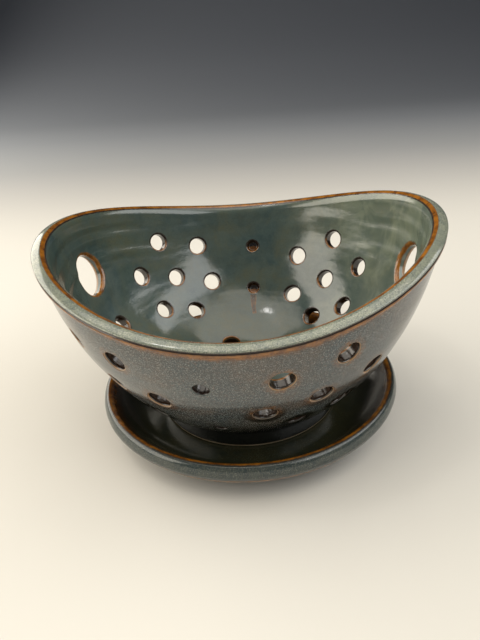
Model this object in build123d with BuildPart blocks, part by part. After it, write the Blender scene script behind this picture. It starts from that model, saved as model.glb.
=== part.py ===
from build123d import *
from math import cos, degrees, pi, radians, sin
import os

os.makedirs("parts", exist_ok=True)

# Sizes are in millimetres. The origin is on the table under the middle of the saucer, with +Z up
# and the two high ends of the bowl's rim on the X axis.

# Drip saucer
saucer_radius = 75.0
saucer_height = 20.2
saucer_floor = 6.0               # level that the bowl stands on
saucer_floor_radius = 54.0
roll_width = 5.2                 # rolled rim, from its widest place to its inner edge
mouth_drop = 1.6                 # the inner edge lies this far below the top of the roll
roll_height = 8.8                # rolled rim, from its sharp lower edge to its top
roll_tuck = 2.2                  # the lower edge lies this far in from the widest place
saucer_foot_radius = 49.5
saucer_foot_width = 7.0
saucer_foot_height = 2.4
saucer_foot_bevel = 0.6

# Bowl: foot ring and floor
foot_radius = 44.8
foot_width = 5.2
foot_height = 8.8
foot_recess = 4.6                # hollow inside the foot ring
foot_flare = 1.4                 # the ring widens by this much where the belly starts
foot_bevel = 0.9                 # wiped edge at the bottom of the ring
floor_thickness = 6.8
floor_flat_radius = 24.0

# Bowl: wall and rim
wall_thickness = 5.4
belly_radius = 63.8              # outside of the wall a third of the way up
belly_height = 27.5
shoulder_radius = 79.5           # outside of the wall about half way up
shoulder_height = 55.5
mouth_radius = 89.0              # outside of the wall where its line runs out, just above the rim
rim_high = 96.6                  # height of the rim at its two ends
rim_low = 78.2                   # height of the rim at the front and the back
lip_depth = 4.2
lip_overhang = 2.1               # how far the lip stands out from the wall
lip_round = 2.4                  # outer top edge of the lip
lip_chin_round = 0.8             # outer lower edge of the lip
lip_inner_round = 3.2

# Holes. An angle is measured from +X, and a climb is the distance up the slanted wall from the foot ring.
drain_diameter = 9.2
drain_bevel = 0.8
flower_petals = 6
flower_reach = 24.0              # from the middle hole of a flower to each of its petals
flowers = [                      # angle, climb and turn of each flower, as set by hand and eye
    (47.0, 39.0, 27.0),
    (126.5, 43.5, 19.5),
    (225.5, 46.5, -3.0),
    (295.0, 44.5, 17.0),
]
small_diameter = 6.2
small_angle = 260.0              # two small holes at the front, one above the other
small_climbs = (20.0, 58.5)
stopped_angle = 86.4             # two more at the back, which stop short of the outside
stopped_climbs = (28.3, 55.0)
stopped_web = 1.8                # what is left of the wall behind a hole that stops short
handle_diameter = 21.0           # finger holes under the rim's high ends
handle_bevel = 1.3
handle_round = 2.4               # softens the way from a finger hole's bore to its bevel
handle_angles = (0.0, 171.0)
handle_drop = 27.5               # from the underside of the lip down the wall to the middle of a finger hole
handle_drain_climb = 36.0        # one drain hole under each finger hole
floor_ring_radius = 32.4
floor_ring_turn = 48.0

# Levels above the table that follow from the sizes
bowl_base = saucer_floor
belly_start = bowl_base + foot_height
inner_floor = bowl_base + foot_recess + floor_thickness
rim_middle = bowl_base + (rim_high + rim_low) / 2
rim_wave = (rim_high - rim_low) / 2
wall_top = bowl_base + rim_high + 2 * lip_depth
wave_radii = (belly_radius, 2 * mouth_radius - belly_radius)
wave_points = 24
inner_shares = (0.25, 0.5, 0.75, 1)  # places along the wall that the inside line is taken from
saucer_mouth_radius = saucer_radius - roll_width

# Outside line of the bowl's wall, from the foot ring to above the rim, as radius and height
wall_line = Spline(
    (foot_radius + foot_flare, belly_start),
    (belly_radius, bowl_base + belly_height),
    (shoulder_radius, bowl_base + shoulder_height),
    (mouth_radius, wall_top),
)


def climb_at(height):
    """Climb at which the outside of the wall reaches this height."""
    level = Line((0, height), (2 * mouth_radius, height))
    meeting = wall_line.intersect(level)[0]
    return wall_line.param_at_point(meeting) * wall_line.length


def wall_frame(climb):
    """Point on the outside of the wall at this climb, and the direction square to the wall there."""
    spot = wall_line.position_at(climb, position_mode=PositionMode.LENGTH)
    along = wall_line.tangent_at(climb, position_mode=PositionMode.LENGTH)
    return spot, Vector(along.Y, -along.X)


def beside_wall(share, step_out):
    """Point this far out from the wall's outside, at a share of the wall's length."""
    spot, outward = wall_frame(share * wall_line.length)
    return spot + outward * step_out


def wave_face(drop):
    """Surface that follows the rim's wave this far below the rim, level along every radius."""
    edges = []
    for radius in wave_radii:
        points = []
        for step in range(wave_points):
            turn = pi / 2 + 2 * pi * step / wave_points
            height = rim_middle + rim_wave * cos(2 * turn) - drop
            points.append((radius * cos(turn), radius * sin(turn), height))
        edges.append(Spline(points, periodic=True))
    return Face.make_surface_from_curves(*edges)


def hole_plane(angle, climb):
    """Plane in the middle of the wall's thickness, facing straight out through the wall."""
    spot, outward = wall_frame(climb)
    middle = spot - outward * (wall_thickness / 2)
    across = Vector(cos(radians(angle)), sin(radians(angle)), 0)
    upward = Vector(0, 0, 1)
    return Plane(
        origin=across * middle.X + upward * middle.Y,
        x_dir=(-across.Y, across.X, 0),
        z_dir=across * outward.X + upward * outward.Y,
    )


def flower_planes(angle, climb, turn):
    """Middle hole and petals of one flower, laid out on the unrolled wall."""
    radius = wall_frame(climb)[0].X
    planes = [hole_plane(angle, climb)]
    for petal in range(flower_petals):
        way = radians(turn + petal * 360 / flower_petals)
        sideways = degrees(flower_reach * cos(way) / radius)
        planes.append(hole_plane(angle + sideways, climb + flower_reach * sin(way)))
    return planes


def drill_section(radius, bevel, thickness):
    """Half section of what a hole and its two bevels take out of a wall of this thickness."""
    throat = thickness / 2 - bevel
    flare = radius + 2 * bevel
    return Polygon(
        (0, -thickness),
        (flare, -thickness),
        (flare, -throat - 2 * bevel),
        (radius, -throat),
        (radius, throat),
        (flare, throat + 2 * bevel),
        (flare, thickness),
        (0, thickness),
        align=None,
    )


def stopped_section(radius, bevel, thickness, web):
    """Half section of what a hole that stops short takes out of the inside of a wall."""
    throat = thickness / 2 - bevel
    flare = radius + 2 * bevel
    end = thickness / 2 - web
    return Polygon(
        (0, -thickness),
        (flare, -thickness),
        (flare, -throat - 2 * bevel),
        (radius, -throat),
        (radius, end),
        (0, end),
        align=None,
    )


def highest_face(body, way):
    """Highest of the faces that look straight up, for a way of 1, or straight down, for -1."""
    return body.faces().filter_by(lambda face: way * face.normal_at().Z > 0.9).sort_by(Axis.Z)[-1]


def rings_of(face):
    """Closed edges of a ring-shaped face, the shortest first."""
    return face.edges().filter_by(lambda edge: edge.is_closed).sort_by(SortBy.LENGTH)


# Inside line of the bowl, from the flat of the floor up the wall, one wall's thickness in from the outside
inner_points = [beside_wall(share, -wall_thickness) for share in inner_shares]
inner_line = Spline((floor_flat_radius, inner_floor), inner_points, tangents=((1, 0), wall_line % 1))

# The lip's ring starts well below the lowest place of the lip's underside
lip_start = climb_at(bowl_base + rim_low - 2 * lip_depth) / wall_line.length
lip_shares = (lip_start, (lip_start + 1) / 2, 1)
handle_climb = climb_at(bowl_base + rim_high - lip_depth) - handle_drop

rim_top = wave_face(0)
rim_underside = wave_face(lip_depth)

# What each kind of hole takes out, about the middle of the wall's or the floor's thickness
with BuildPart() as drain_drill:
    with BuildSketch(Plane.XZ):
        drill_section(drain_diameter / 2, drain_bevel, wall_thickness)
    revolve(axis=Axis.Z)

with BuildPart() as small_drill:
    with BuildSketch(Plane.XZ):
        drill_section(small_diameter / 2, drain_bevel, wall_thickness)
    revolve(axis=Axis.Z)

with BuildPart() as stopped_drill:
    with BuildSketch(Plane.XZ):
        stopped_section(small_diameter / 2, drain_bevel, wall_thickness, stopped_web)
    revolve(axis=Axis.Z)

with BuildPart() as floor_drill:
    with BuildSketch(Plane.XZ):
        drill_section(drain_diameter / 2, drain_bevel, floor_thickness)
    revolve(axis=Axis.Z)

with BuildPart() as handle_drill:
    with BuildSketch(Plane.XZ) as handle_section:
        drill_section(handle_diameter / 2, handle_bevel, wall_thickness)
        throat_corners = handle_section.vertices().group_by(Axis.X)[1]
        fillet(throat_corners, handle_round)
    revolve(axis=Axis.Z)

with BuildPart() as bowl:
    with BuildSketch(Plane.YZ):
        with BuildLine():
            Polyline(
                (0, bowl_base + foot_recess),
                (foot_radius - foot_width - foot_bevel, bowl_base + foot_recess),
                (foot_radius - foot_width, bowl_base),
                (foot_radius - foot_bevel, bowl_base),
                (foot_radius, bowl_base + foot_bevel),
                wall_line @ 0,
            )
            add(wall_line)
            Line(wall_line @ 1, inner_line @ 1)
            add(inner_line)
            Polyline(inner_line @ 0, (0, inner_floor), (0, bowl_base + foot_recess))
        make_face()
    revolve(axis=Axis.Z)

    # Lip: a ring that starts inside the wall and stands out from it, cut to the rim's wave above and below
    with BuildSketch(Plane.YZ, mode=Mode.PRIVATE) as lip_section:
        with BuildLine():
            lip_face = Spline(*[beside_wall(share, lip_overhang) for share in lip_shares])
            lip_core = Spline(*[beside_wall(share, -wall_thickness / 2) for share in lip_shares])
            Line(lip_face @ 0, lip_core @ 0)
            Line(lip_face @ 1, lip_core @ 1)
        make_face()
    lip_ring = revolve(lip_section.sketch, axis=Axis.Z, mode=Mode.PRIVATE)
    below_lip = extrude(rim_underside, amount=rim_high, dir=(0, 0, -1), mode=Mode.PRIVATE)
    add(lip_ring - below_lip)
    extrude(rim_top, amount=rim_high, dir=(0, 0, 1), mode=Mode.SUBTRACT)

    brow_edge = rings_of(highest_face(bowl, 1))[-1]
    fillet(brow_edge, lip_round)
    chin_edge = rings_of(highest_face(bowl, -1))[-1]
    fillet(chin_edge, lip_chin_round)
    mouth_edge = rings_of(highest_face(bowl, 1))[0]
    fillet(mouth_edge, lip_inner_round)

    # Holes, each square to the wall
    drain_planes = [hole_plane(angle, handle_drain_climb) for angle in handle_angles]
    for flower in flowers:
        drain_planes += flower_planes(*flower)
    with Locations(*drain_planes):
        add(drain_drill.part, mode=Mode.SUBTRACT)
    with Locations(*[hole_plane(small_angle, climb) for climb in small_climbs]):
        add(small_drill.part, mode=Mode.SUBTRACT)
    with Locations(*[hole_plane(stopped_angle, climb) for climb in stopped_climbs]):
        add(stopped_drill.part, mode=Mode.SUBTRACT)
    with Locations(Plane.XY.offset(inner_floor - floor_thickness / 2)):
        add(floor_drill.part, mode=Mode.SUBTRACT)
        with PolarLocations(floor_ring_radius, flower_petals, start_angle=floor_ring_turn):
            add(floor_drill.part, mode=Mode.SUBTRACT)
    with Locations(*[hole_plane(angle, handle_climb) for angle in handle_angles]):
        add(handle_drill.part, mode=Mode.SUBTRACT)

bowl.part.label = "berry_bowl"
export_step(bowl.part, "parts/berry_bowl.step")

# Section of the saucer's rolled rim, from its lower edge over the top to its inner edge
roll_line = Spline(
    (saucer_radius - roll_tuck, saucer_height - roll_height),
    (saucer_radius, saucer_height - roll_height / 2),
    ((saucer_radius + saucer_mouth_radius) / 2, saucer_height),
    (saucer_mouth_radius, saucer_height - mouth_drop),
    tangents=((1, 1), (0, 1), (-1, 0), (-1, -2)),
)

with BuildPart() as saucer:
    with BuildSketch(Plane.YZ):
        with BuildLine():
            foot_line = Polyline(
                (0, saucer_foot_height),
                (saucer_foot_radius - saucer_foot_width, saucer_foot_height),
                (saucer_foot_radius - saucer_foot_width, saucer_foot_bevel),
                (saucer_foot_radius - saucer_foot_width + saucer_foot_bevel, 0),
                (saucer_foot_radius - saucer_foot_bevel, 0),
                (saucer_foot_radius, saucer_foot_bevel),
                (saucer_foot_radius, saucer_foot_height),
            )
            Spline(foot_line @ 1, roll_line @ 0, tangents=((1, 0.1), (1, 0.8)))
            add(roll_line)
            Spline(roll_line @ 1, (saucer_floor_radius, saucer_floor), tangents=((-1, -2), (-1, 0)))
            Polyline((saucer_floor_radius, saucer_floor), (0, saucer_floor), foot_line @ 0)
        make_face()
    revolve(axis=Axis.Z)

saucer.part.label = "drip_saucer"
export_step(saucer.part, "parts/drip_saucer.step")
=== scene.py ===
import bpy
import numpy as np
from mathutils import Euler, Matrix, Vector
from mathutils.geometry import delaunay_2d_cdt


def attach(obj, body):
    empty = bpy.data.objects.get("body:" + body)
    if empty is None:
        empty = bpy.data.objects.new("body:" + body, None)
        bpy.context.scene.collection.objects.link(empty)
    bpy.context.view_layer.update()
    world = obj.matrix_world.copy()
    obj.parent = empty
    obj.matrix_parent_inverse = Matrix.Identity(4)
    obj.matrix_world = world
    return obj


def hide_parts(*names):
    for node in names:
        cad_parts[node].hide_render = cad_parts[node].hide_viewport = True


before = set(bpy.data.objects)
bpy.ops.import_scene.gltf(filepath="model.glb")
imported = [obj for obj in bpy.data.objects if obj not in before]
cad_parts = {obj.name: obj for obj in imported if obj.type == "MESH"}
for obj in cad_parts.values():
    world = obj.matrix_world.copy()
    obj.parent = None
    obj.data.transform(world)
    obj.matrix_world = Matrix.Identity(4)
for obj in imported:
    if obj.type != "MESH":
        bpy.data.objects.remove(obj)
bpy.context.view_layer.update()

MM = 0.001
TAU = 2 * np.pi

# Sizes in millimetres, in the frame of the solids. The origin is on the table under the saucer's middle.
BOWL_BASE = 6.0
FOOT_RADIUS = 44.8
FOOT_WIDTH = 5.2
FOOT_RECESS = 4.6
FOOT_FLARE = 1.4
FOOT_TURN = 1.6                 # distance up the wall over which it turns into the foot
BELLY_START = 14.8
FLOOR_LEVEL = 17.4
FLOOR_FLAT = 24.0
WALL = 5.4
WALL_POINTS = [(FOOT_RADIUS + FOOT_FLARE, BELLY_START), (63.8, 33.5), (79.5, 61.5), (89.0, 111.0)]
INNER_SHARES = (0.25, 0.5, 0.75, 1.0)
RIM_MIDDLE = 93.4
RIM_WAVE = 9.2
LIP_DEPTH = 5.2
LIP_OUT = 1.85
LIP_WIDTH = 5.6
LIP_INSIDE = 5.0

# Holes: radius and soft edge, then places as degrees round the bowl and a climb up its wall. A flower also
# has the turn of its petals.
DRAIN = 4.6
DRAIN_EDGE = 1.0
SMALL = 3.1
SMALL_EDGE = 0.8
HANDLE = 10.5
HANDLE_EDGE = 1.9
STOPPED_EDGE = 1.0
STOPPED_DEPTH = 3.6
FLOOR_EDGE = 0.8
FLOWERS = [(47.0, 39.0, 27.0), (126.5, 43.5, 19.5), (225.5, 46.5, -3.0), (295.0, 44.5, 17.0)]
FLOWER_REACH = 24.0
PETALS = 6
SMALL_SPOTS = [(260.0, 20.0), (260.0, 58.5)]
STOPPED_SPOTS = [(86.4, 28.3), (86.4, 55.0)]
HANDLE_ANGLES = (0.0, 171.0)
HANDLE_CLIMB = 68.5
HANDLE_DRAIN_CLIMB = 36.0
FLOOR_RING = 32.4
FLOOR_TURN = 48.0

# Height of the marks of the hand
RING_HEIGHT = 0.14
HANDWORK_HEIGHT = 0.11

# Spacing of the meshes
COLUMNS = 480
STEP = 1.25
FLAT_POINTS = 60
CURVE_POINTS = 1500
SPREAD = 1.08                   # rounds lie a little closer together than the spots along a round
HOLE_STEP = 0.75
HOLE_POINTS = 28                # the fewest round a hole
HOLE_CLEAR = 3.3                # kept free of evenly spread spots beyond a hole's edge
RUN_CLEAR = 0.7                 # kept free of them round the spots of a glaze run
BORDER_CLEAR = 0.4              # kept free of halo spots inside a surface's last border
MIDDLE_GAP = 0.6                # left free at the middle of a layout


# Lines that the walls follow
def lengths(points):
    """Distance along a run of points, from its first point."""
    return np.concatenate([[0], np.cumsum(np.linalg.norm(np.diff(points, axis=0), axis=1))])


def smooth(low, high, x):
    """Rises smoothly from 0 at low to 1 at high. It falls where low is above high."""
    t = np.clip((x - low) / (high - low), 0, 1)
    return t * t * (3 - 2 * t)


def cubic_through(points):
    """Cubic curve through four points."""
    points = np.array(points, float)
    t = lengths(points)
    fine = np.linspace(0, t[-1], CURVE_POINTS)
    return np.stack([np.polyval(np.polyfit(t, points[:, k], 3), fine) for k in (0, 1)], 1)


def hermite_step(u, h, start, start_way, end, end_way):
    """Point at share u of a smooth step of length h between two points with a direction at each."""
    return ((1 + 2 * u) * (1 - u) ** 2 * start + u * (1 - u) ** 2 * h * start_way
            + u * u * (3 - 2 * u) * end + u * u * (u - 1) * h * end_way)


def clamped_spline(points, start, end, count=CURVE_POINTS):
    """Smooth curve through the points with a given direction at each end."""
    points = np.array(points, float)
    t = lengths(points)
    h = np.diff(t)
    n = len(points)
    a = np.zeros((n, n))
    b = np.zeros((n, 2))
    slopes = np.diff(points, axis=0) / h[:, None]
    a[0, 0] = a[-1, -1] = 1
    b[0], b[-1] = (np.array(v, float) / np.linalg.norm(v) for v in (start, end))
    for i in range(1, n - 1):
        a[i, i - 1:i + 2] = h[i], 2 * (h[i - 1] + h[i]), h[i - 1]
        b[i] = 3 * (h[i] * slopes[i - 1] + h[i - 1] * slopes[i])
    ways = np.linalg.solve(a, b)
    fine = np.linspace(0, t[-1], count)
    i = np.clip(np.searchsorted(t, fine, side="right") - 1, 0, n - 2)
    u = ((fine - t[i]) / h[i])[:, None]
    return hermite_step(u, h[i][:, None], points[i], ways[i], points[i + 1], ways[i + 1])


def hermite(points, ways, steps):
    """Smooth run through the points with a given direction at each."""
    points, ways = np.array(points, float), np.array(ways, float)
    ways = ways / np.linalg.norm(ways, axis=1)[:, None]
    run = []
    for i in range(len(points) - 1):
        h = np.linalg.norm(points[i + 1] - points[i])
        for u in np.linspace(0, 1, steps, endpoint=False):
            run.append(hermite_step(u, h, points[i], ways[i], points[i + 1], ways[i + 1]))
    return run + [points[-1]]


class Profile:
    """A line of radius and height that can be read by the distance along it."""

    def __init__(self, points):
        self.points = points
        self.s = lengths(points)
        self.length = self.s[-1]
        way = np.gradient(points, self.s, axis=0)
        self.way = way / np.linalg.norm(way, axis=1)[:, None]

    def at(self, s):
        return tuple(np.interp(s, self.s, self.points[:, k]) for k in (0, 1))

    def way_at(self, s):
        return tuple(np.interp(s, self.s, self.way[:, k]) for k in (0, 1))

    def s_at_height(self, z):
        return np.interp(z, self.points[:, 1], self.s)


def radius_at(points, z):
    return np.interp(z, points[:, 1], points[:, 0])


outer_line = Profile(cubic_through(WALL_POINTS))
OUTER_START = WALL_POINTS[0][0]


def off_wall(share, out):
    """Point at a share of the outer wall's length, this far out from it."""
    s = share * outer_line.length
    r, z = outer_line.at(s)
    wr, wz = outer_line.way_at(s)
    return float(r + out * wz), float(z - out * wr)


inner_run = [(FLOOR_FLAT, FLOOR_LEVEL)] + [off_wall(share, -WALL) for share in INNER_SHARES]
inner_curve = clamped_spline(inner_run, (1, 0), outer_line.way[-1])
flat_radii = np.linspace(0, FLOOR_FLAT, FLAT_POINTS, endpoint=False)
flat_run = np.stack([flat_radii, np.full(FLAT_POINTS, FLOOR_LEVEL)], 1)
inner_line = Profile(np.concatenate([flat_run, inner_curve]))
angles = TAU * np.arange(COLUMNS) / COLUMNS


def rim_height(angle):
    return RIM_MIDDLE + RIM_WAVE * np.cos(2 * angle)


# Marks of the hand on the walls
def wobble(angle, z):
    """Slight unevenness of a wall shaped by hand."""
    grow = smooth(12, 60, z)
    return grow * (0.16 * np.sin(2 * angle + 0.7) + 0.11 * np.sin(3 * angle - 0.06 * z + 2.1)
                   + 0.07 * np.sin(5 * angle + 0.09 * z))


def finger_rings(angle, below_rim):
    """Ridges left inside by the potter's fingers, following the rim and fading down the wall."""
    fade = smooth(3.0, 9.0, below_rim) * (1 - smooth(20, 40, below_rim))
    right = 0.96 * smooth(0.78, 1.0, np.cos(angle))
    left = 1.5 * smooth(0.5, 0.9, -np.cos(angle))
    drift = 2.6 * np.sin(angle + 0.5) + 1.6 * np.sin(2 * angle + 1.0)
    broad = np.sin(TAU * (below_rim + drift) / 8.6)
    narrow = 0.35 * np.sin(TAU * (below_rim - 1.4 * drift) / 5.3 + 1.3)
    return RING_HEIGHT * fade * (0.04 + right + left) * (broad + narrow)


def turning_rings(angle, s):
    """Faint rings all over, from the turning wheel."""
    fine = 0.006 * np.sin(TAU * s / 3.7 + 1.5 * np.sin(angle + 0.8))
    broad = 0.03 * np.sin(TAU * s / 17.0 + np.sin(angle))
    between = 0.012 * np.sin(TAU * s / 7.3 + 1.2 * np.sin(2 * angle))
    return fine + broad + between


def handwork(angle, s, below):
    """Slow unevenness of the wall, a few finger widths across, gone at the lip."""
    waves = np.sin(7 * angle + 0.13 * s + 1.0) + np.sin(11 * angle - 0.17 * s + 2.2)
    waves = waves + np.sin(5 * angle + 0.22 * s + 0.4) + 0.7 * np.sin(9 * angle + 0.19 * s + 4.0)
    return HANDWORK_HEIGHT * smooth(5, 16, below) * waves


# Flat layouts of the walls, and the surfaces that they stand for
def plane_of(angle, s):
    """Flat layout of a wall: distance along the wall becomes distance from the middle."""
    return np.stack([s * np.cos(angle), s * np.sin(angle)], -1)


def turned(angle, r, z):
    """Points at these angles, radii and heights."""
    return np.stack([r * np.cos(angle), r * np.sin(angle), z + 0 * angle], 1)


def outside(spots):
    """Points on the outside of the bowl, from the flat layout."""
    angle = np.arctan2(spots[:, 1], spots[:, 0])
    climb = np.hypot(spots[:, 0], spots[:, 1]) - OUTER_START
    r, z = outer_line.at(climb)
    wr, wz = outer_line.way_at(climb)
    out = wobble(angle, z) + smooth(0, 6, climb) * turning_rings(angle, climb)
    out = out + 0.5 * smooth(2, 14, climb) * handwork(angle, climb + 40, rim_height(angle) - z)
    return turned(angle, r + out * wz, z - out * wr)


def inside(spots):
    """Points on the inside of the bowl, from the flat layout."""
    angle = np.arctan2(spots[:, 1], spots[:, 0])
    reach = np.hypot(spots[:, 0], spots[:, 1])
    r, z = inner_line.at(reach)
    wr, wz = inner_line.way_at(reach)
    below = rim_height(angle) - z
    fade = smooth(0, 5, below) * smooth(4, 20, reach)
    out = wobble(angle, z) + finger_rings(angle, below) + fade * turning_rings(angle, reach)
    out = out + smooth(14, 34, reach) * handwork(angle, reach, below)
    return turned(angle, r + out * wz, z - out * wr)


def underneath(spots):
    """Points on the hollow under the bowl's floor."""
    return np.stack([spots[:, 0], spots[:, 1], np.full(len(spots), BOWL_BASE + FOOT_RECESS)], 1)


def surface_normals(surface, spots, flip):
    """Normals of a surface at spots of its layout, turned over where flip is -1."""
    nudge = 0.05
    along = surface(spots + [nudge, 0]) - surface(spots - [nudge, 0])
    across = surface(spots + [0, nudge]) - surface(spots - [0, nudge])
    n = np.cross(along, across)
    return flip * n / np.linalg.norm(n, axis=1)[:, None]


class Shape:
    """Vertices, faces and glaze marks of one piece, gathered before it becomes a mesh."""

    MARKS = ("inner", "pale", "amber", "umber", "bare")

    def __init__(self):
        self.points, self.normals, self.faces = [], [], []
        self.marks = {name: [] for name in self.MARKS}
        self.count = 0

    def add(self, points, normals=None, **marks):
        """Takes points with their marks and gives their numbers. A normal of zero is left to the mesh."""
        points = np.asarray(points, float).reshape(-1, 3)
        n = len(points)
        self.points.append(points)
        self.normals.append(np.zeros((n, 3)) if normals is None else normals)
        for name in self.MARKS:
            self.marks[name].append(np.broadcast_to(np.asarray(marks.get(name, 0.0), float), (n,)))
        first = self.count
        self.count += n
        return np.arange(first, self.count)

    def band(self, low, high):
        """Quads between two closed rings of the same size."""
        next_low, next_high = np.roll(low, -1), np.roll(high, -1)
        self.faces += np.stack([low, next_low, next_high, high], 1).tolist()

    def fan(self, ring, middle):
        """Triangles between a closed ring and one point."""
        self.faces += np.stack([ring, np.roll(ring, -1), np.full(len(ring), middle)], 1).tolist()

    def build(self, name, material):
        mesh = bpy.data.meshes.new(name)
        points = np.concatenate(self.points) * MM
        mesh.from_pydata(points.tolist(), [], self.faces)
        for mark, values in self.marks.items():
            layer = mesh.attributes.new(mark, "FLOAT", "POINT")
            layer.data.foreach_set("value", np.concatenate(values).astype(np.float32))
        mesh.shade_smooth()
        mesh.validate()
        mesh.normals_split_custom_set_from_vertices(np.concatenate(self.normals).tolist())
        mesh.materials.append(material)
        piece = bpy.data.objects.new(name, mesh)
        bpy.context.scene.collection.objects.link(piece)
        return piece


# Holes
class Hole:
    """A hole square to the wall, with soft edges, between two surfaces given as flat layouts."""

    def __init__(self, middle, axis, sideways, radius, edge, tilt):
        self.middle, self.axis, self.x = (np.array(v, float) for v in (middle, axis, sideways))
        self.y = np.cross(self.axis, self.x)
        self.radius, self.edge = radius, edge
        self.count = max(HOLE_POINTS, int(TAU * radius / HOLE_STEP))
        self.turns = TAU * np.arange(self.count) / self.count
        self.uneven = 1 + 0.018 * np.sin(2 * self.turns + tilt) + 0.012 * np.sin(3 * self.turns + 2 * tilt)

    def across(self, points):
        """Places of points seen along the hole's axis."""
        off = points - self.middle
        return np.stack([off @ self.x, off @ self.y], 1)

    def depth(self, points):
        return (points - self.middle) @ self.axis

    def solve(self, surface, spots, x, y):
        """Moves spots of the flat layout until they are seen at x and y along the hole's axis."""
        nudge, rounds, reach = 0.02, 9, 3
        for _ in range(rounds):
            at = self.across(surface(spots))
            jx = (self.across(surface(spots + [nudge, 0])) - at) / nudge
            jy = (self.across(surface(spots + [0, nudge])) - at) / nudge
            ex, ey = x - at[:, 0], y - at[:, 1]
            det = jx[:, 0] * jy[:, 1] - jy[:, 0] * jx[:, 1]
            step_x = (ex * jy[:, 1] - ey * jy[:, 0]) / det
            step_y = (ey * jx[:, 0] - ex * jx[:, 1]) / det
            spots = spots + np.clip(np.stack([step_x, step_y], 1), -reach, reach)
        return spots

    def ring(self, surface, guess, radius):
        """Spots of the flat layout that lie on a ring round the hole's axis."""
        x, y = radius * np.cos(self.turns), radius * np.sin(self.turns)
        return self.solve(surface, np.tile(guess, (self.count, 1)), x, y)

    def centre(self, surface, guess):
        return self.solve(surface, np.array([guess], float), np.zeros(1), np.zeros(1))[0]

    def round_at(self, extra, depth):
        """Ring of points round the hole's axis, at the depths given."""
        r = (self.radius + extra) * self.uneven
        flat = np.outer(r * np.cos(self.turns), self.x) + np.outer(r * np.sin(self.turns), self.y)
        return self.middle + flat + np.outer(depth, self.axis)


def wall_hole(angle, climb, radius, edge, tilt):
    """Hole square to the wall, with the spot of the inside's layout on its axis."""
    a = np.radians(angle)
    r, z = outer_line.at(climb)
    wr, wz = outer_line.way_at(climb)
    middle_r, middle_z = r - wz * WALL / 2, z + wr * WALL / 2
    middle = (middle_r * np.cos(a), middle_r * np.sin(a), middle_z)
    axis = (wz * np.cos(a), wz * np.sin(a), -wr)
    hole = Hole(middle, axis, (-np.sin(a), np.cos(a), 0), radius, edge, tilt)
    off = inner_line.points - [r - WALL * wz, z + WALL * wr]
    nearest = np.argmin((off ** 2).sum(1))
    hole.in_spot = hole.centre(inside, plane_of(a, inner_line.s[nearest]))
    return hole


def hole_spots():
    """Angle, climb, radius and edge of each hole that goes through the wall."""
    spots = [(angle, HANDLE_DRAIN_CLIMB, DRAIN, DRAIN_EDGE) for angle in HANDLE_ANGLES]
    spots += [(angle, climb, SMALL, SMALL_EDGE) for angle, climb in SMALL_SPOTS]
    spots += [(angle, HANDLE_CLIMB, HANDLE, HANDLE_EDGE) for angle in HANDLE_ANGLES]
    for angle, climb, turn in FLOWERS:
        spots.append((angle, climb, DRAIN, DRAIN_EDGE))
        radius_there = float(outer_line.at(climb)[0])
        for petal in range(PETALS):
            way = np.radians(turn + 360 / PETALS * petal)
            aside = np.degrees(FLOWER_REACH * np.cos(way) / radius_there)
            spots.append((angle + aside, climb + FLOWER_REACH * np.sin(way), DRAIN, DRAIN_EDGE))
    return spots


wall_holes = []
for number, (angle, climb, radius, edge) in enumerate(hole_spots()):
    hole = wall_hole(angle, climb, radius, edge, 1.7 * number)
    hole.out_spot = hole.centre(outside, plane_of(np.radians(angle), OUTER_START + climb))
    wall_holes.append(hole)

stopped_holes = [wall_hole(angle, climb, SMALL, STOPPED_EDGE, 2.3 * number)
                 for number, (angle, climb) in enumerate(STOPPED_SPOTS)]

floor_holes = []
floor_middle = (FLOOR_LEVEL + BOWL_BASE + FOOT_RECESS) / 2
floor_ways = np.radians(FLOOR_TURN + 360 / PETALS * np.arange(PETALS))
floor_spots = [(0.0, 0.0)] + [(FLOOR_RING * np.cos(way), FLOOR_RING * np.sin(way)) for way in floor_ways]
for number, (x, y) in enumerate(floor_spots):
    hole = Hole((x, y, floor_middle), (0, 0, -1), (1, 0, 0), DRAIN, FLOOR_EDGE, 0.9 * number)
    hole.out_spot = hole.in_spot = np.array([x, y])
    floor_holes.append(hole)


def rounds_of(surface, low, high, count, skip, ring_of, clear=()):
    """Evenly spread spots of the flat layout between two borders, clear of the holes and of other spots."""
    spots = []
    for k in range(1, count):
        s = low + k / count * (high - low)
        n = max(8, int(TAU * ring_of(s.mean()) / STEP))
        turn = TAU * (np.arange(n) + 0.5 * (k % 2)) / n
        at = np.interp(turn, np.append(angles, TAU), np.append(s, s[0]))
        spots.append(plane_of(turn, at))
    spots = np.concatenate(spots)
    keep = np.ones(len(spots), bool)
    for others in clear:
        for at in np.array_split(others, 8):
            near = np.hypot(*(spots[:, None] - at[None]).transpose(2, 0, 1)).min(1)
            keep &= near > RUN_CLEAR
    for hole, centre in skip:
        close = np.hypot(*(spots - centre).T) < 3 * hole.radius + 8
        off = np.hypot(*hole.across(surface(spots[close])).T)
        keep[np.flatnonzero(close)[off < hole.radius + hole.edge + HOLE_CLEAR]] = False
    return spots[keep]


# Distance beyond a hole's edge and strength of the halo there
HALO_ROUNDS = ((0.6, 0.93), (1.5, 0.85), (2.4, 0.7))


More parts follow.
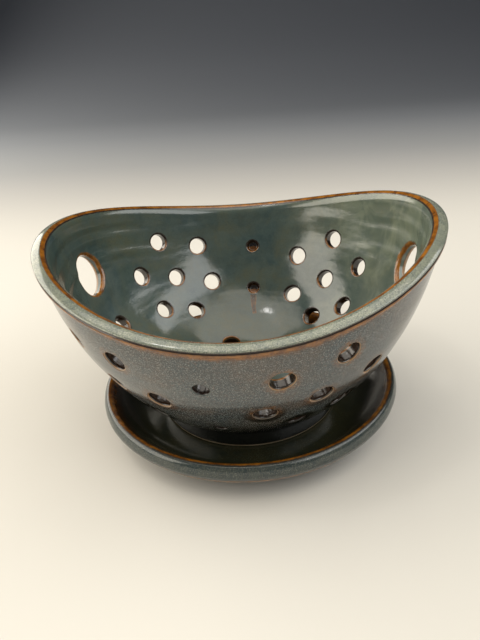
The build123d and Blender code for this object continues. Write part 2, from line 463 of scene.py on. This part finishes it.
def patch(shape, surface, flip, borders, spots, holes, halo, outline, runs=(), tint=None, **marks):
    """Triangles over one surface, between its border rings and round its holes. Gives each hole's ring."""
    flat, ids, edges, loops = [], [], [], []
    start = 0

    def loop(ring_spots, ring_ids):
        nonlocal start
        n = len(ring_spots)
        flat.append(ring_spots)
        ids.append(ring_ids)
        order = np.arange(start, start + n)
        edges.extend(np.stack([order, np.roll(order, -1)], 1).tolist())
        loops.append(np.full(n, len(loops) + 1))
        start += n

    def loose(points, **amounts):
        nonlocal start
        normals = surface_normals(surface, points, flip)
        flat.append(points)
        ids.append(shape.add(surface(points), normals, **{**marks, **amounts}))
        loops.append(np.zeros(len(points), int))
        start += len(points)

    for ring_spots, ring_ids in borders:
        loop(ring_spots, ring_ids)
    border_reach = np.hypot(*borders[-1][0].T).max() - BORDER_CLEAR
    rings = []
    for hole, guess in holes:
        hole_halo = halo if hole.radius >= DRAIN else 0.3 * halo
        hole_outline = outline if hole.radius <= DRAIN else 0.4 * outline
        edge_spots = hole.ring(surface, guess, (hole.radius + hole.edge) * hole.uneven)
        normals = surface_normals(surface, edge_spots, flip)
        ring_marks = {**marks, "amber": hole_halo, "umber": hole_outline}
        ring = shape.add(surface(edge_spots), normals, **ring_marks)
        loop(edge_spots, ring)
        rings.append(ring)
        for extra, amount in HALO_ROUNDS:
            near = hole.ring(surface, guess, (hole.radius + hole.edge + extra) * hole.uneven)
            near = near[np.hypot(*near.T) < border_reach]
            loose(near, amber=hole_halo * amount, umber=0.3 * outline * (1.4 - extra))
    loose(spots, **(tint(spots) if tint else {}))
    for run_spots, run_marks in runs:
        loose(run_spots, **run_marks)

    flat, ids, loops = (np.concatenate(parts) for parts in (flat, ids, loops))
    done = delaunay_2d_cdt([Vector(p) for p in flat], edges, [], 0, 1e-6)
    first = np.array([source[0] for source in done[3]])
    faces = first[np.array([face for face in done[2] if len(face) == 3])]
    owner = loops[faces]
    filled = (owner[:, 0] > 0) & (owner[:, 0] == owner[:, 1]) & (owner[:, 1] == owner[:, 2])
    faces = ids[faces[~filled]]
    shape.faces += (faces if flip > 0 else faces[:, ::-1]).tolist()
    return rings


# Glaze down a hole. A brim or inner edge has rows of degrees, amber and umber, and a bore has rows of
# share, amber, umber and pale.
FINGER_HOLE = {
    "brim": ((18, 0.6, 0), (36, 0.95, 0), (54, 0.95, 0), (72, 0.8, 0), (90, 0.55, 0)),
    "bore": ((0.2, 0.25, 0.25, 0.1), (0.4, 0, 0.3, 0.15), (0.6, 0, 0.3, 0.15), (0.8, 0.3, 0.2, 0.05)),
    "inner_edge": ((0, 0.7, 0), (18, 0.9, 0), (36, 0.9, 0.1), (54, 0.7, 0.3), (74, 0.5, 0.4)),
}
# A drain hole's bore is painted dark umber, partly dark glaze and partly painted shade down the narrow hole
DRAIN_HOLE = {
    "brim": ((18, 0.45, 0), (36, 0.8, 0), (54, 0.6, 0.1), (72, 0.2, 0.6), (90, 0, 0.9)),
    "bore": ((0.2, 0, 0.95, 0), (0.4, 0, 0.9, 0), (0.6, 0, 0.85, 0), (0.8, 0.1, 0.75, 0)),
    "inner_edge": ((0, 0.75, 0.25), (18, 0.85, 0.25), (36, 0.85, 0.3), (54, 0.75, 0.4), (74, 0.6, 0.5)),
}
STOPPED_HOLE_EDGE = ((74, 0.2, 0.5), (54, 0.6, 0.2), (36, 0.9, 0), (18, 1, 0), (0, 1, 0))


def bore(shape, hole, outer_ring, inner_ring):
    """Wall of a hole with rounded edges, from its outer ring to its inner ring."""
    points = np.concatenate(shape.points)
    high, low = hole.depth(points[outer_ring]), hole.depth(points[inner_ring])
    edge = hole.edge
    large = hole.radius > DRAIN
    look = FINGER_HOLE if large else DRAIN_HOLE
    below = smooth(0.4, -0.4, np.sin(hole.turns))
    rows = []
    for turn, amber, umber in look["brim"]:
        turn = np.radians(turn)
        depth = high - edge * (1 - np.cos(turn))
        worn = 0.45 * (amber > 0.7)
        rows.append((edge * (1 - np.sin(turn)), depth, amber, umber, 0.6, 0.0, worn))
    for share, amber, umber, pale in look["bore"]:
        depth = (high - edge) * (1 - share) + (low + edge) * share
        rows.append((0.0, depth, amber, umber, 1.0, pale, 0.0))
    for turn, amber, umber in look["inner_edge"]:
        turn = np.radians(turn)
        depth = low + edge * (1 - np.sin(turn))
        rows.append((edge * (1 - np.cos(turn)), depth, amber, umber, 1.0, 0.0, 0.0))
    before = outer_ring
    for extra, depth, amber, umber, inner, pale, bare in rows:
        if hole.radius < DRAIN:
            amber, umber, bare = 0.35 * amber, umber + 0.4, 0.0
        # Painted shade: in holes smaller than a finger hole the inner rows are darker in their upper half,
        # and their amber shows mostly in the lower, lit half
        if not large and inner == 1.0:
            amber, umber = amber * (0.3 + 0.7 * below), umber + 0.45 * (1 - below)
        marks = {"amber": amber, "umber": umber, "inner": inner, "pale": pale, "bare": bare}
        ring = shape.add(hole.round_at(extra, depth), **marks)
        shape.band(before, ring)
        before = ring
    shape.band(before, inner_ring)


def pit(shape, hole, inner_ring):
    """A hole that stops short of the outside, with painted shade over its upper half and its amber glaze
    kept to the lower, lit half.
    """
    low = hole.depth(np.concatenate(shape.points)[inner_ring])
    edge, turn_in = hole.edge, 1.1
    end = -WALL / 2 + STOPPED_DEPTH
    below = smooth(0.25, -0.25, np.sin(hole.turns))
    rows = []
    for turn, amber, umber in STOPPED_HOLE_EDGE:
        turn = np.radians(turn)
        rows.append((edge * (1 - np.cos(turn)), low + edge * (1 - np.sin(turn)), amber, umber))
    for share in (0.3, 0.65, 1.0):
        rows.append((0.0, (low + edge) * (1 - share) + (end - turn_in) * share, 1.0, 0.1 * share))
    for turn in np.radians((25, 50, 72, 88)):
        depth = end - turn_in * (1 - np.sin(turn))
        rows.append((-turn_in * (1 - np.cos(turn)), np.full(hole.count, depth), 1.0, 0.15))
    before = inner_ring
    for extra, depth, amber, umber in rows:
        # Painted shade: umber over the upper half of the pit, amber only in the lower half that the light
        # reaches
        marks = {"amber": amber * below, "umber": 1 - below + umber * below}
        ring = shape.add(hole.round_at(extra, depth), inner=1.0, **marks)
        shape.band(ring, before)
        before = ring
    middle = shape.add([hole.middle + end * hole.axis], amber=0.7, umber=0.5, inner=1.0)[0]
    shape.fan(before[::-1], middle)


def glaze_run(hole):
    """Close spots for a streak of brown glaze that has run down the wall from a hole."""
    angle, reach = np.arctan2(hole.in_spot[1], hole.in_spot[0]), np.hypot(*hole.in_spot)
    down, side = (v.ravel() for v in np.meshgrid(np.arange(4.6, 20.0, 0.5), np.arange(-3.6, 3.7, 0.4)))
    s = reach - down
    spots = plane_of(angle - side / s, s)
    half = 2.0 * (1 - 0.35 * smooth(6, 14, down)) + 0.4 * smooth(14, 17, down)
    side = side - 0.9 * smooth(10, 18, down)
    strength = (1 - smooth(0.6 * half, 1.35 * half, np.abs(side))) * (1 - smooth(14.5, 18.5, down))
    return spots, {"amber": 0.85 * strength, "umber": 0.66 * strength}


# The bowl. Its foot has rows of radius, height, amber and bare clay, from the wall round to the hollow.
FOOT_RUN = [
    (46.35, 15.3, 0, 0), (46.05, 14.6, 0, 0), (45.95, 13.6, 0, 0), (45.7, 11.6, 0, 0), (45.4, 9.4, 0, 0),
    (45.1, 7.6, 0, 0), (44.97, 7.1, 0, 0.5), (44.86, 6.75, 0, 1), (44.6, 6.3, 0, 1), (44.2, 6.08, 0, 1),
    (43.7, 6.0, 0, 1), (42.2, 6.0, 0, 1), (40.6, 6.0, 0, 1), (40.0, 6.04, 0, 1), (39.6, 6.2, 0, 1),
    (39.4, 6.5, 0.5, 0.8), (39.3, 7.0, 0.6, 0.2), (39.1, 8.2, 0, 0), (38.92, 9.6, 0, 0),
    (38.84, 10.25, 0, 0), (38.75, 10.52, 0, 0),
]
HOLLOW_EDGE = FOOT_RADIUS - FOOT_WIDTH - 0.95


def lip_section():
    """Section of the lip as steps out from the wall and up from the rim, with the marks of each point."""
    ridge, groove = (LIP_OUT, -3.3), (LIP_OUT - 0.4, -2.1)
    brow, crest = (LIP_OUT - 0.1, -1.55), (-2.2, -0.03)
    under = [(0.0, -LIP_DEPTH), (0.75, -4.7), (1.6, -4.15)]
    over = [(1.25, -0.9), (0.2, -0.42), (-1.2, -0.08), crest]
    down = [(-3.1, -0.25), (-4.3, -1.05), (-5.2, -2.5), (-LIP_WIDTH, -LIP_INSIDE + 0.5)]
    knots = under + [ridge, (1.7, -2.6), groove, brow] + over + down
    points = clamped_spline(knots, (0.4, 1), (0, -1), 90)[2:]
    s = lengths(points)
    at_ridge, at_groove, at_brow, at_crest = (s[np.argmin(np.hypot(*(points - spot).T))]
                                              for spot in (ridge, groove, brow, crest))
    past = s - at_crest
    pale = smooth(at_groove + 0.2, at_brow + 0.15, s) * (1 - smooth(-0.25, 0.45, past))
    amber = 0.95 * (1 - smooth(at_groove - 0.1, at_groove + 0.4, s))
    amber = amber + 0.9 * smooth(-0.1, 0.5, past) * (1 - smooth(1.8, 2.8, past))
    umber = 0.3 * (1 - smooth(at_ridge, at_groove, s))
    umber = umber + 0.95 * np.exp(-((s - at_groove + 0.15) / 0.66) ** 2)
    umber = umber + 0.72 * smooth(1.6, 2.4, past) * (1 - smooth(2.6, 3.4, past))
    return zip(points[:, 0], points[:, 1], pale, amber, umber, smooth(0.8, 3.4, past))


def lip_ring(out, up):
    """Ring of points of the lip, this far out from the wall and up from the rim."""
    z = rim_height(angles) + up
    r = radius_at(outer_line.points, z)
    width = r - radius_at(inner_line.points[FLAT_POINTS:], z)
    return turned(angles, r + (out if out >= 0 else out * width / LIP_WIDTH) + wobble(angles, z), z)


def make_bowl(material):
    shape = Shape()
    low_s = np.full(COLUMNS, OUTER_START + FOOT_TURN)
    top_s = OUTER_START + outer_line.s_at_height(rim_height(angles) - LIP_DEPTH)
    in_s = inner_line.s_at_height(rim_height(angles) - LIP_INSIDE)
    hollow_s = np.full(COLUMNS, HOLLOW_EDGE)
    middle_s = np.full(COLUMNS, MIDDLE_GAP)
    low_spots, top_spots = plane_of(angles, low_s), plane_of(angles, top_s)
    in_top_spots, hollow_spots = plane_of(angles, in_s), plane_of(angles, hollow_s)
    outer_low = shape.add(outside(low_spots))
    outer_top = shape.add(outside(top_spots), amber=0.85)
    inner_top = shape.add(inside(in_top_spots), inner=1.0)

    before = outer_top
    for out, up, pale, amber, umber, inner in lip_section():
        ring = shape.add(lip_ring(out, up), pale=pale, amber=amber, umber=umber, inner=inner)
        shape.band(before, ring)
        before = ring
    shape.band(before, inner_top)

    before = outer_low
    for r, z, amber, bare in FOOT_RUN:
        ring = shape.add(turned(angles, r, z), amber=amber, bare=bare)
        shape.band(ring, before)
        before = ring
    hollow_edge = shape.add(underneath(hollow_spots))
    shape.band(hollow_edge, before)

    def outer_ring_size(s):
        return outer_line.at(s - OUTER_START)[0]

    def inner_ring_size(s):
        return inner_line.at(s)[0]

    def hollow_ring_size(s):
        """Half the true size, since the flat hollow needs fewer spots."""
        return 0.5 * s

    def under_lip(spots):
        """Rusty tint below the lip, fading down the wall."""
        turn = np.arctan2(spots[:, 1], spots[:, 0]) % TAU
        top = np.interp(turn, np.append(angles, TAU), np.append(top_s, top_s[0]))
        down = top - np.hypot(spots[:, 0], spots[:, 1])
        return {"amber": 0.42 * (1 - smooth(0.0, 9.0, down)) + 0.3 * (1 - smooth(0.0, 1.8, down))}

    out_holes = [(hole, hole.out_spot) for hole in wall_holes]
    in_holes = [(hole, hole.in_spot) for hole in wall_holes + floor_holes + stopped_holes]
    hollow_holes = [(hole, hole.out_spot) for hole in floor_holes]
    streak = glaze_run(stopped_holes[0])
    out_count = int((top_s - low_s).max() / STEP * SPREAD)
    in_count = int((in_s - middle_s).max() / STEP * SPREAD)
    hollow_count = int(HOLLOW_EDGE / 2)
    out_spots = rounds_of(outside, low_s, top_s, out_count, out_holes, outer_ring_size)
    in_spots = rounds_of(inside, middle_s, in_s, in_count, in_holes, inner_ring_size, [streak[0]])
    under_spots = rounds_of(underneath, middle_s, hollow_s, hollow_count, hollow_holes, hollow_ring_size)

    out_rings = patch(shape, outside, -1, [(low_spots, outer_low), (top_spots, outer_top)], out_spots,
                      out_holes, halo=0.5, outline=0.0, tint=under_lip)
    in_rings = patch(shape, inside, 1, [(in_top_spots, inner_top)], in_spots,
                     in_holes, halo=0.22, outline=0.62, runs=[streak], inner=1.0)
    under_rings = patch(shape, underneath, -1, [(hollow_spots, hollow_edge)], under_spots,
                        hollow_holes, halo=0.3, outline=0.0)
    for hole, outer_ring, inner_ring in zip(wall_holes + floor_holes, out_rings + under_rings, in_rings):
        bore(shape, hole, outer_ring, inner_ring)
    for hole, inner_ring in zip(stopped_holes, in_rings[-len(stopped_holes):]):
        pit(shape, hole, inner_ring)
    return shape.build("glazed_bowl", material)


# The saucer, as runs of radius and height from the hollow under it, round its rim, to its floor
SAUCER_RADIUS = 74.98
SAUCER_FLOOR = 6.0
SAUCER_HOLLOW = 2.4
FOOT_INNER = [(42.3, 2.3), (42.5, 1.6), (42.6, 0.7)]
FOOT_FACE = [(42.85, 0.25), (43.4, 0.0), (45.0, 0.0), (47.0, 0.0), (48.6, 0.0), (49.1, 0.2)]
FOOT_OUTER = [(49.4, 0.6), (49.55, 1.3), (49.8, 2.1)]
UNDERSIDE = hermite([(50.3, 2.45), (72.5, 11.0)], [(1, 0.1), (1, 0.8)], 26)
ROLL_CORNER = [(72.75, 11.25), (72.95, 11.5)]
ROLL = hermite([(73.1, 11.75), (75.0, 15.8), (72.4, 20.2), (69.8, 18.6)],
               [(0.7, 1), (0, 1), (-1, 0), (-1, -2)], 14)
DISH = hermite([(69.6, 18.2), (54.0, SAUCER_FLOOR)], [(-1, -2), (-1, 0)], 30)
DISH_FLOOR = [(r, SAUCER_FLOOR) for r in np.linspace(52.5, 1.5, 34)]
HOLLOW_RADII = (38.0, 30.0, 20.0, 10.0)


def swell(amount, rise=None, fall=None):
    """A mark that rises and then falls along a run, between the shares of its length given."""
    def at(share):
        up = smooth(*rise, share) if rise else 1.0
        down = 1 - smooth(*fall, share) if fall else 1.0
        return amount * up * down
    return at


def saucer_rows():
    """Radius, height and marks of each ring of the saucer."""
    rows = []

    def run(points, **marks):
        for k, (r, z) in enumerate(points):
            share = k / max(1, len(points) - 1)
            rows.append((r, z, {name: sum(part(share) for part in parts) for name, parts in marks.items()}))

    run(FOOT_INNER)
    run(FOOT_FACE, bare=[swell(1.0)])
    run(FOOT_OUTER)
    run(UNDERSIDE, amber=[swell(0.5, rise=(0.9, 1.0))])
    run(ROLL_CORNER, amber=[swell(0.95)], umber=[swell(0.1)])
    run(ROLL,
        pale=[swell(1.0, (0.08, 0.2), (0.54, 0.68))],
        umber=[swell(0.7, (0.06, 0.1), (0.1, 0.18)), swell(0.46, rise=(0.66, 0.84))],
        amber=[swell(0.9, fall=(0.05, 0.1)), swell(0.7, rise=(0.54, 0.74))],
        bare=[swell(0.35, fall=(0.03, 0.07))],
        inner=[swell(1.0, rise=(0.6, 0.95))])
    run(DISH,
        inner=[swell(1.0)],
        amber=[swell(0.85, fall=(0.04, 0.4))],
        umber=[swell(0.46, fall=(0.2, 0.5)), swell(0.2, (0.02, 0.14), (0.2, 0.5))])
    run(DISH_FLOOR, inner=[swell(1.0)])
    return rows


def make_saucer(material):
    shape = Shape()
    rings = []
    for r, z, marks in saucer_rows():
        out = 0.1 * np.sin(2 * angles + 1.1) * smooth(52, 72, r) * (1 if z > 3 else 0)
        rise = 0.12 * (np.sin(2 * angles + 0.4) - 1) * smooth(56, 70, r)
        uneven_r = np.minimum(r + out - 0.1 * smooth(60, 75, r), SAUCER_RADIUS)
        rings.append(shape.add(turned(angles, uneven_r, z + rise), **marks))
    for low, high in zip(rings, rings[1:]):
        shape.band(low, high)
    shape.fan(rings[-1], shape.add([(0, 0, SAUCER_FLOOR)], inner=1.0)[0])
    before = rings[0]
    for r in HOLLOW_RADII:
        ring = shape.add(turned(angles, r, SAUCER_HOLLOW))
        shape.band(ring, before)
        before = ring
    shape.fan(before[::-1], shape.add([(0, 0, SAUCER_HOLLOW)])[0])
    return shape.build("glazed_saucer", material)


# Glaze tones, as they look on a screen from 0 to 255
SLATE = (55, 69, 74)
TAUPE = (84, 76, 68)
TEAL = (46, 64, 71)
RUSSET = (118, 88, 72)
INK = (20, 28, 30)
SILVER = (160, 162, 157)
# Dark tone towards the foot: partly a darker glaze, partly painted shade under the belly
FOOT_GLAZE_AND_PAINTED_SHADE = (24, 26, 23)
DEEP_FLECK = (46, 60, 60)
SAGE = (122, 129, 110)
LIP_FLECK = (52, 64, 66)
RUST = ((100, 56, 9), (151, 95, 25))
UMBER = (40, 26, 17)
CLAY = ((196, 176, 146), (178, 156, 126))
PAINTED_SHADE_LOW = (24, 23, 18)
BOWL_DEEP = ((54, 72, 72), (85, 89, 72), (75, 89, 83))
BOWL_LIP = ((138, 142, 124), (114, 121, 110), (192, 190, 172))
SAUCER_DEEP = ((26, 31, 22), (43, 42, 25), (50, 47, 29))
SAUCER_LIP = ((66, 71, 66), (44, 55, 55), (132, 132, 122))


def colour(tone):
    """A tone from 0 to 255 as the linear colour that a material takes."""
    c = np.array(tone) / 255
    linear = np.where(c <= 0.04045, c / 12.92, ((c + 0.055) / 1.055) ** 2.4)
    return (*map(float, linear), 1.0)


class Tree:
    """Shorthand for building a material's nodes."""

    def __init__(self, name):
        self.material = bpy.data.materials.new(name)
        self.material.use_nodes = True
        self.nodes = self.material.node_tree.nodes
        self.links = self.material.node_tree.links
        self.shader = self.nodes["Principled BSDF"]
        self.place = self.node("ShaderNodeTexCoord").outputs["Object"]

    def node(self, kind, **settings):
        made = self.nodes.new(kind)
        for name, value in settings.items():
            setattr(made, name, value)
        return made

    def put(self, socket, value):
        if isinstance(value, bpy.types.NodeSocket):
            self.links.new(value, socket)
        else:
            socket.default_value = value

    def axes(self):
        """The three coordinates of the place, in metres."""
        made = self.node("ShaderNodeSeparateXYZ")
        self.put(made.inputs[0], self.place)
        return made.outputs

    def math(self, kind, a, b, clamp=False):
        made = self.node("ShaderNodeMath", operation=kind, use_clamp=clamp)
        self.put(made.inputs[0], a)
        self.put(made.inputs[1], b)
        return made.outputs[0]

    def times(self, a, b):
        return self.math("MULTIPLY", a, b)

    def mix(self, share, a, b):
        made = self.node("ShaderNodeMix", data_type="RGBA")
        self.put(made.inputs[0], share)
        self.put(made.inputs[6], a)
        self.put(made.inputs[7], b)
        return made.outputs[2]

    def tint(self, base, share, amount, tone):
        """Base with at most this amount of a tone, by share."""
        return self.mix(self.times(share, amount), base, colour(tone))

    def mark(self, name):
        return self.node("ShaderNodeAttribute", attribute_name=name).outputs["Fac"]

    def noise(self, scale, detail=3.0, rough=0.55, warp=0.0):
        made = self.node("ShaderNodeTexNoise")
        self.put(made.inputs["Vector"], self.place)
        settings = {"Scale": scale, "Detail": detail, "Roughness": rough, "Distortion": warp}
        for socket, value in settings.items():
            self.put(made.inputs[socket], value)
        return made.outputs["Fac"]

    def between(self, value, low, high):
        made = self.node("ShaderNodeMapRange", interpolation_type="SMOOTHSTEP")
        self.put(made.inputs["Value"], value)
        self.put(made.inputs["From Min"], low)
        self.put(made.inputs["From Max"], high)
        return made.outputs["Result"]

    def ragged(self, mark, scale, reach):
        """A mark with an uneven edge."""
        wander = self.times(self.math("SUBTRACT", self.noise(scale), 0.5), reach)
        return self.between(self.math("ADD", mark, wander), 0.3, 0.8)


def glaze(name, deep_tones, lip_tones, satin, bend, dim_from, sage_share):
    """Stoneware glaze: speckled slate outside, green inside, pale on the lip and amber where it breaks.

    Satin is the roughness that the noise and the marks change, and bend is the index of refraction. Breaks
    on the outside get painted shade below the height dim_from, in metres, and sage_share is how pale the
    inside grows towards the right end.
    """
    t = Tree(name)
    x, _, height = t.axes()
    inner, pale, amber, umber, bare = (t.mark(mark) for mark in Shape.MARKS)

    cloud = t.between(t.noise(38, 4, 0.6, 0.4), 0.32, 0.68)
    blotch = t.between(t.noise(75, 3, 0.6, 0.6), 0.38, 0.66)
    mottle = t.between(t.noise(190, 4, 0.65), 0.35, 0.65)
    freckle = t.between(t.noise(760, 3, 0.6), 0.5, 0.7)
    grain = t.noise(1900, 2, 0.6)
    fleck = t.between(grain, 0.46, 0.68)
    spark = t.between(t.noise(2300, 2, 0.5), 0.48, 0.72)

    out = t.mix(cloud, colour(SLATE), colour(TAUPE))
    out = t.tint(out, mottle, 0.45, TEAL)
    out = t.tint(out, freckle, 0.35, RUSSET)
    out = t.tint(out, fleck, 0.8, INK)
    out = t.tint(out, spark, 0.6, SILVER)
    # Darker towards the foot: partly a darker glaze, partly painted shade under the belly
    out = t.mix(t.between(height, 0.014, 0.044), colour(FOOT_GLAZE_AND_PAINTED_SHADE), out)

    deep = t.mix(cloud, colour(deep_tones[0]), colour(deep_tones[1]))
    deep = t.tint(deep, mottle, 0.6, deep_tones[2])
    deep = t.tint(deep, fleck, 0.3, DEEP_FLECK)
    paler = t.times(t.between(x, 0.015, 0.075), t.math("ADD", t.times(blotch, 0.6), 0.3))
    deep = t.tint(deep, paler, sage_share, SAGE)

    lip = t.mix(mottle, colour(lip_tones[0]), colour(lip_tones[1]))
    lip = t.tint(lip, fleck, 0.7, LIP_FLECK)
    lip = t.tint(lip, spark, 0.5, lip_tones[2])

    shade = t.mix(inner, out, deep)
    shade = t.mix(pale, shade, lip)
    rust = t.mix(mottle, colour(RUST[0]), colour(RUST[1]))
    shade = t.mix(t.ragged(amber, 420, 0.5), shade, rust)
    shade = t.mix(t.ragged(umber, 500, 0.4), shade, colour(UMBER))
    clay = t.mix(mottle, colour(CLAY[0]), colour(CLAY[1]))
    shade = t.mix(bare, shade, clay)
    # Painted shade: amber breaks on the outside are darkened towards the bottom of the bowl
    low = t.times(t.between(inner, 1.0, 0.7), t.between(height, dim_from, dim_from - 0.014))
    shade = t.mix(t.times(low, t.between(amber, 0.0, 0.4)), shade, colour(PAINTED_SHADE_LOW))
    t.put(t.shader.inputs["Base Color"], shade)

    rough = t.math("ADD", t.times(t.noise(320), 0.1), satin)
    rough = t.math("ADD", rough, t.times(inner, 0.01))
    rough = t.math("SUBTRACT", rough, t.times(pale, 0.05))
    rough = t.math("ADD", rough, t.times(bare, 0.45), clamp=True)
    t.put(t.shader.inputs["Roughness"], rough)
    t.shader.inputs["IOR"].default_value = bend

    bump = t.node("ShaderNodeBump")
    strength = t.math("ADD", t.times(t.times(umber, inner), 0.4), 0.16)
    t.put(bump.inputs["Strength"], t.math("SUBTRACT", strength, t.times(pale, 0.08)))
    bump.inputs["Distance"].default_value = 0.0004
    t.put(bump.inputs["Height"], t.math("ADD", t.noise(260, 2, 0.5), t.times(grain, 0.24)))
    t.put(t.shader.inputs["Normal"], bump.outputs["Normal"])
    return t.material


bowl_look = glaze("bowl_glaze_look", BOWL_DEEP, BOWL_LIP,
                  satin=0.1, bend=1.7, dim_from=0.05, sage_share=0.8)
saucer_look = glaze("saucer_glaze_look", SAUCER_DEEP, SAUCER_LIP,
                    satin=0.15, bend=1.55, dim_from=-1.0, sage_share=0.0)

bowl = make_bowl(bowl_look)
saucer = make_saucer(saucer_look)
for piece, body, node, finish in ((bowl, "bowl", "berry_bowl", "bowl_glaze"),
                                  (saucer, "saucer", "drip_saucer", "saucer_glaze")):
    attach(piece, body)
    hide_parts(node)

# Floor that sweeps up into a backdrop, in metres, with the backdrop's tone by its distance behind the part:
# pale near it, then greyer with painted shade
FLOOR_HALF = 4.0
FLOOR_FRONT = -3.0
SWEEP_START = 1.2
SWEEP_RADIUS = 0.9
BACKDROP_TOP = 3.0
BACKDROP_TONES_AND_PAINTED_SHADE = [(0.28, (222, 218, 210)), (0.46, (190, 187, 183)), (0.66, (156, 157, 159)),
            (0.98, (134, 138, 145)), (1.6, (94, 98, 106)), (2.0, (80, 84, 92))]


def backdrop_look():
    """Plain matt cloth, pale under the part, with painted shade making it greyer further back."""
    t = Tree("floor_look")
    ramp = t.node("ShaderNodeValToRGB")
    ramp.color_ramp.interpolation = "B_SPLINE"
    farthest = BACKDROP_TONES_AND_PAINTED_SHADE[-1][0]
    stops = ramp.color_ramp.elements
    for _ in BACKDROP_TONES_AND_PAINTED_SHADE[2:]:
        stops.new(0.5)
    for stop, (reach, tone) in zip(stops, BACKDROP_TONES_AND_PAINTED_SHADE):
        stop.position = reach / farthest
        stop.color = colour(tone)
    t.put(ramp.inputs[0], t.math("DIVIDE", t.axes()[1], farthest, clamp=True))
    t.put(t.shader.inputs["Base Color"], ramp.outputs[0])
    t.shader.inputs["Roughness"].default_value = 0.7
    return t.material


def make_floor():
    sweep = [(FLOOR_FRONT, 0.0), (0.0, 0.0), (SWEEP_START, 0.0)]
    for turn in np.radians(np.linspace(4, 90, 24)):
        sweep.append((SWEEP_START + SWEEP_RADIUS * np.sin(turn), SWEEP_RADIUS * (1 - np.cos(turn))))
    sweep.append((SWEEP_START + SWEEP_RADIUS, BACKDROP_TOP))
    corners = [(side, y, z) for y, z in sweep for side in (-FLOOR_HALF, FLOOR_HALF)]
    strips = [(2 * k, 2 * k + 1, 2 * k + 3, 2 * k + 2) for k in range(len(sweep) - 1)]
    mesh = bpy.data.meshes.new("floor")
    mesh.from_pydata(corners, [], strips)
    mesh.shade_smooth()
    mesh.materials.append(backdrop_look())
    made = bpy.data.objects.new("floor", mesh)
    bpy.context.scene.collection.objects.link(made)
    return made


floor = make_floor()

# Light: a dim world, a soft light overhead, a window at each side and a small lamp
world = bpy.data.worlds.new("studio")
bpy.context.scene.world = world
world.use_nodes = True
world_light = world.node_tree.nodes["Background"]
world_light.inputs["Color"].default_value = (0.84, 0.84, 0.85, 1)
world_light.inputs["Strength"].default_value = 0.15
LIGHTS_AIM = Vector((0, 0, 0.06))


def softbox(name, turn, rise, away, size, glow, tint, shape="RECTANGLE"):
    """Patch of light, turned to the right of the camera's side and raised, by degrees, this far away."""
    turn, rise = np.radians((turn, rise))
    way = Vector((np.sin(turn) * np.cos(rise), -np.cos(turn) * np.cos(rise), np.sin(rise)))
    lamp = bpy.data.lights.new(name, "AREA")
    lamp.shape = shape
    lamp.size = size[0]
    if shape == "RECTANGLE":
        lamp.size_y = size[1]
    lamp.energy = np.pi * glow * size[0] * size[1]
    lamp.color = tint
    made = bpy.data.objects.new(name, lamp)
    made.location = away * way + LIGHTS_AIM
    made.rotation_euler = way.to_track_quat("Z", "Y").to_euler()
    made.visible_camera = False
    bpy.context.scene.collection.objects.link(made)


softbox("overhead", turn=20, rise=88, away=1.0, size=(1.3, 1.3), glow=1.3, tint=(1.0, 0.95, 0.84),
        shape="DISK")
softbox("left_window", turn=-100, rise=26, away=1.15, size=(2.5, 0.84), glow=3.4, tint=(1.0, 0.94, 0.82))
softbox("right_window", turn=76, rise=40, away=1.15, size=(1.66, 0.60), glow=2.8, tint=(0.98, 0.98, 0.95))
softbox("lamp", turn=-62, rise=72, away=1.3, size=(0.14, 0.14), glow=13, tint=(1.0, 0.98, 0.95),
        shape="DISK")

# Camera at the photograph's angle, in metres and degrees
CAMERA_PLACE = (0.01200, -0.23897, 0.17398)
CAMERA_TURN = (62.349, 4.125, 1.266)
lens = bpy.data.cameras.new("photo_view")
lens.sensor_width = 36.0
lens.lens = 30.375
lens.clip_start = 0.01
lens.clip_end = 100
camera = bpy.data.objects.new("photo_view", lens)
camera.location = CAMERA_PLACE
camera.rotation_euler = Euler(np.radians(CAMERA_TURN))
bpy.context.scene.collection.objects.link(camera)
bpy.context.scene.camera = camera
bpy.context.scene.view_settings.view_transform = "Standard"
